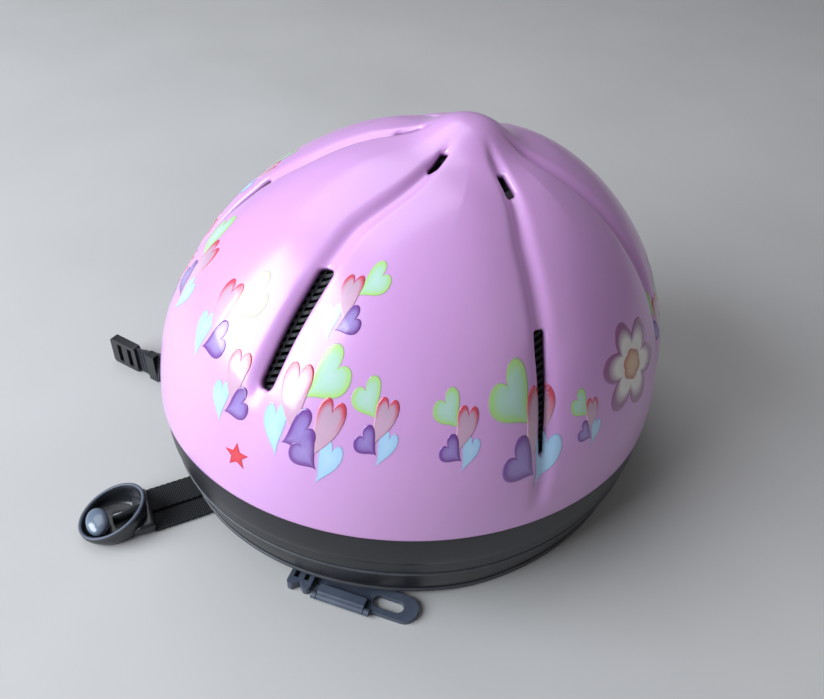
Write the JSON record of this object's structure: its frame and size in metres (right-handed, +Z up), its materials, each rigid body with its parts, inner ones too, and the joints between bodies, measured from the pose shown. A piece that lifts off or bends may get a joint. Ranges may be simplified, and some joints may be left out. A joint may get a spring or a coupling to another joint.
{
  "type": "equestrian riding helmet",
  "caption": "Child's riding helmet: glossy ribbed dome with vents over a black rim band, foam liner, comfort pads, and chin harness with divider locks and buckle.",
  "frame": {"origin": "on the ground, under the middle of the rim's bounding box", "axes": "+Z up through the crown, -Y forwards as the wearer faces, +X the wearer's left"},
  "size_m": [0.2434, 0.314, 0.1879],
  "materials": {
    "shell_pink": "glossy moulded ABS, printed",
    "band_black": "satin",
    "trim_rubber": "satin",
    "eps_foam": "black expanded foam",
    "mesh_black": "fine net",
    "pad_fabric": "brushed knit",
    "webbing_black": "ribbed weave",
    "hardware_plastic": "satin moulded nylon",
    "buckle_plastic": "semi-gloss acetal",
    "button_gloss": "polished"
  },
  "bodies": {
    "helmet": {"outer_shell": "shell_pink", "rim_band": "band_black", "edge_trim": "trim_rubber", "eps_liner": "eps_foam", "front_vent_mesh": "mesh_black", "side_vent_mesh": "mesh_black", "brow_pad": "pad_fabric", "nape_pad": "pad_fabric", "side_pad_left": "pad_fabric", "side_pad_right": "pad_fabric", "crown_pad": "pad_fabric", "strap_anchors": "hardware_plastic", "front_strap_left": "webbing_black", "front_strap_right": "webbing_black", "rear_strap_left": "webbing_black", "rear_strap_right": "webbing_black", "chin_strap_inner_left": "webbing_black", "chin_strap_inner_right": "webbing_black", "divider_left": "hardware_plastic", "divider_right": "hardware_plastic", "slide_clip_left": "hardware_plastic", "slide_clip_right": "hardware_plastic"},
    "lock_left": {"lock_flap_left": "hardware_plastic"},
    "lock_right": {"lock_flap_right": "hardware_plastic"},
    "chin_left": {"chin_strap_left": "webbing_black", "buckle_socket": "buckle_plastic"},
    "button": {"release_button": "button_gloss"},
    "chin_right": {"chin_strap_right": "webbing_black", "buckle_tongue": "buckle_plastic"},
    "keeper": {"strap_keeper": "buckle_plastic"}
  },
  "joints": [
    {"name": "lock_flap_left_open", "type": "hinge", "parent": "helmet", "child": "lock_left", "pos_m": [0.09016, -0.08026, 0.0023], "axis": [0.7071, 0.7071, 0], "range_deg": [0, 90]},
    {"name": "lock_flap_right_open", "type": "hinge", "parent": "helmet", "child": "lock_right", "pos_m": [-0.09016, -0.08026, 0.0023], "axis": [0.7071, -0.7071, 0], "range_deg": [0, 90]},
    {"name": "chin_strap_left_lift", "type": "hinge", "parent": "helmet", "child": "chin_left", "pos_m": [0, -0.1279, 0.0039], "axis": [-1, 0, 0], "range_deg": [0, 50]},
    {"name": "release_button_press", "type": "slide", "parent": "chin_left", "child": "button", "axis": [0, 0, -1], "range_m": [0, 0.002], "stiffness_N_per_m": 400},
    {"name": "chin_strap_right_lift", "type": "hinge", "parent": "helmet", "child": "chin_right", "pos_m": [-0.07617, -0.10711, 0.0012], "axis": [-0.5446, 0.8387, 0], "range_deg": [0, 40]},
    {"name": "strap_keeper_slide", "type": "slide", "parent": "chin_right", "child": "keeper", "axis": [-0.8387, -0.5446, 0], "range_m": [-0.006, 0.007]}
  ]
}
